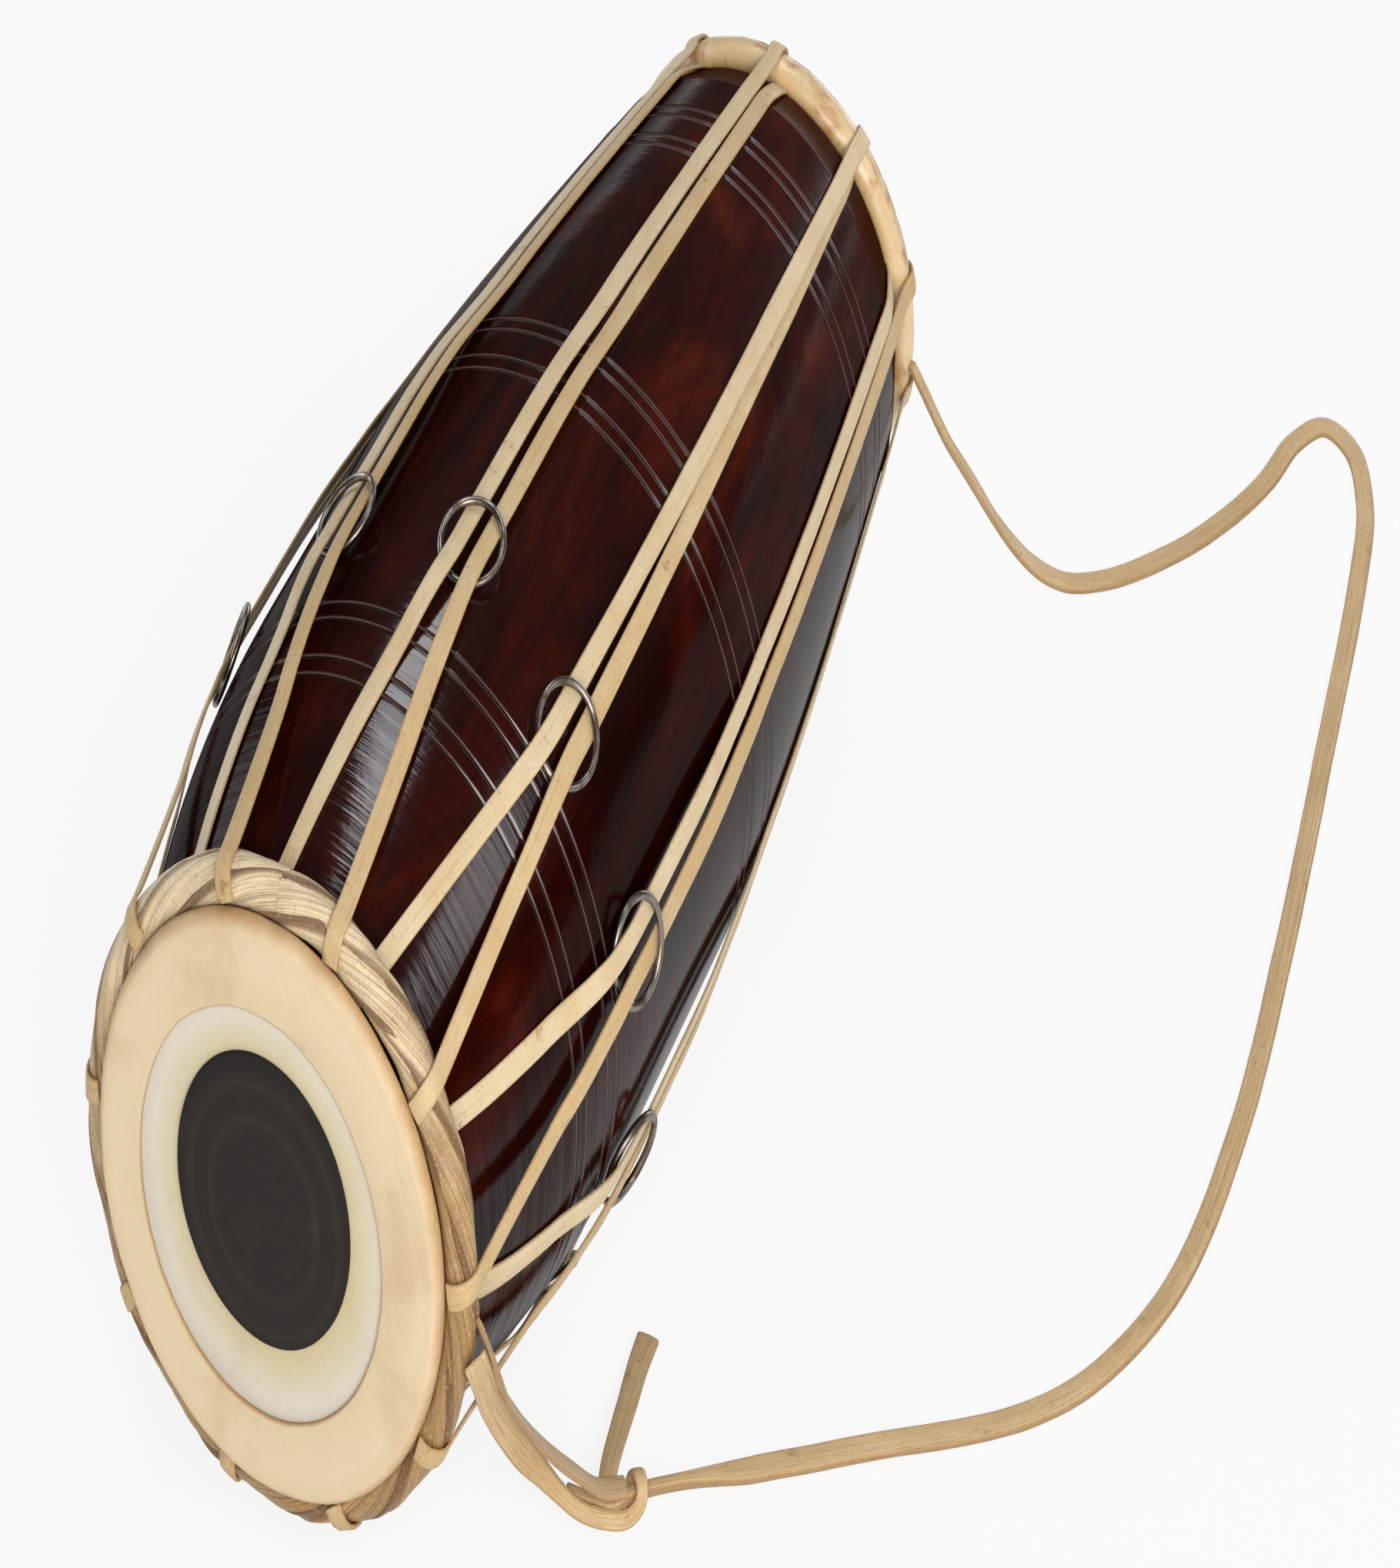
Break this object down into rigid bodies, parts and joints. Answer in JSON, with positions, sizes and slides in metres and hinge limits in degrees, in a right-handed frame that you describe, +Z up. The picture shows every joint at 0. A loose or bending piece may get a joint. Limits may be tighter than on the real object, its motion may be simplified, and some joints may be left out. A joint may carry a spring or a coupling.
{
  "type": "two-headed hand drum",
  "caption": "Barrel-shaped two-headed hand drum lying on its side, with laced skin heads, sliding tuning rings on the lacing thongs and a carrying strap.",
  "frame": {"origin": "on the floor under the middle of the drum's own box", "axes": "+Y along the drum's axis from the front head to the rear head, +Z up"},
  "size_m": [0.3992, 0.6313, 0.2211],
  "materials": {
    "barrel_wood": "turned and lacquered, dark red-brown",
    "membrane": "thin scraped skin, pale, matt",
    "rim_skin": "thicker ring of skin, cream to tan",
    "hoop_skin": "skin lapped tight round a hoop, tan, shiny",
    "tuning_paste": "dried black paste, matt, faint rings",
    "cane": "bare cane",
    "braid": "twisted rawhide, tan with dark creases",
    "lacing": "rawhide thong, cream, speckled",
    "ring_steel": "dull grey steel wire",
    "strap": "rawhide strap, tan"
  },
  "bodies": {
    "drum": {"shell": "barrel_wood", "front_membrane": "membrane", "rear_membrane": "membrane", "front_rim_skin": "rim_skin", "rear_rim_skin": "hoop_skin", "front_paste": "tuning_paste", "rear_paste": "tuning_paste", "rear_hoop": "cane", "front_braid_strand_1": "braid", "front_braid_strand_2": "braid", "front_braid_strand_3": "braid", "lacing_1_over": "lacing", "lacing_1_under": "lacing", "lacing_2_over": "lacing", "lacing_2_under": "lacing", "lacing_3_over": "lacing", "lacing_3_under": "lacing", "lacing_4_over": "lacing", "lacing_4_under": "lacing", "lacing_5_over": "lacing", "lacing_5_under": "lacing", "lacing_6_over": "lacing", "lacing_6_under": "lacing", "lacing_7_over": "lacing", "lacing_7_under": "lacing", "lacing_8_over": "lacing", "lacing_8_under": "lacing", "lacing_9_over": "lacing", "lacing_9_under": "lacing", "lacing_10_over": "lacing", "lacing_10_under": "lacing", "carry_strap": "strap", "carry_loop_lower": "strap", "carry_loop_upper": "strap", "carry_tail": "strap", "carry_knot": "strap"},
    "ring_1": {"tuning_ring_1": "ring_steel"},
    "ring_2": {"tuning_ring_2": "ring_steel"},
    "ring_3": {"tuning_ring_3": "ring_steel"},
    "ring_4": {"tuning_ring_4": "ring_steel"},
    "ring_5": {"tuning_ring_5": "ring_steel"},
    "ring_6": {"tuning_ring_6": "ring_steel"},
    "ring_7": {"tuning_ring_7": "ring_steel"},
    "ring_8": {"tuning_ring_8": "ring_steel"},
    "ring_9": {"tuning_ring_9": "ring_steel"},
    "ring_10": {"tuning_ring_10": "ring_steel"}
  },
  "joints": [
    {"name": "ring_1_slide", "type": "slide", "parent": "drum", "child": "ring_1", "axis": [-0.0062, 1, 0.0031], "range_m": [0, 0.04]},
    {"name": "ring_2_slide", "type": "slide", "parent": "drum", "child": "ring_2", "axis": [0, 1, 0], "range_m": [0, 0.04]},
    {"name": "ring_3_slide", "type": "slide", "parent": "drum", "child": "ring_3", "axis": [0, 1, 0], "range_m": [0, 0.04]},
    {"name": "ring_4_slide", "type": "slide", "parent": "drum", "child": "ring_4", "axis": [0.0046, 1, 0.0053], "range_m": [0, 0.04]},
    {"name": "ring_5_slide", "type": "slide", "parent": "drum", "child": "ring_5", "axis": [0.0068, 1, 0.0017], "range_m": [0, 0.04]},
    {"name": "ring_6_slide", "type": "slide", "parent": "drum", "child": "ring_6", "axis": [0.0065, 1, -0.0024], "range_m": [0, 0.04]},
    {"name": "ring_7_slide", "type": "slide", "parent": "drum", "child": "ring_7", "axis": [0.004, 1, -0.0057], "range_m": [0, 0.04]},
    {"name": "ring_8_slide", "type": "slide", "parent": "drum", "child": "ring_8", "axis": [0, 0.9914, 0.1309], "range_m": [0, 0.04]},
    {"name": "ring_9_slide", "type": "slide", "parent": "drum", "child": "ring_9", "axis": [-0.0044, 1, -0.0054], "range_m": [0, 0.04]},
    {"name": "ring_10_slide", "type": "slide", "parent": "drum", "child": "ring_10", "axis": [-0.0068, 1, -0.0015], "range_m": [0, 0.04]}
  ]
}
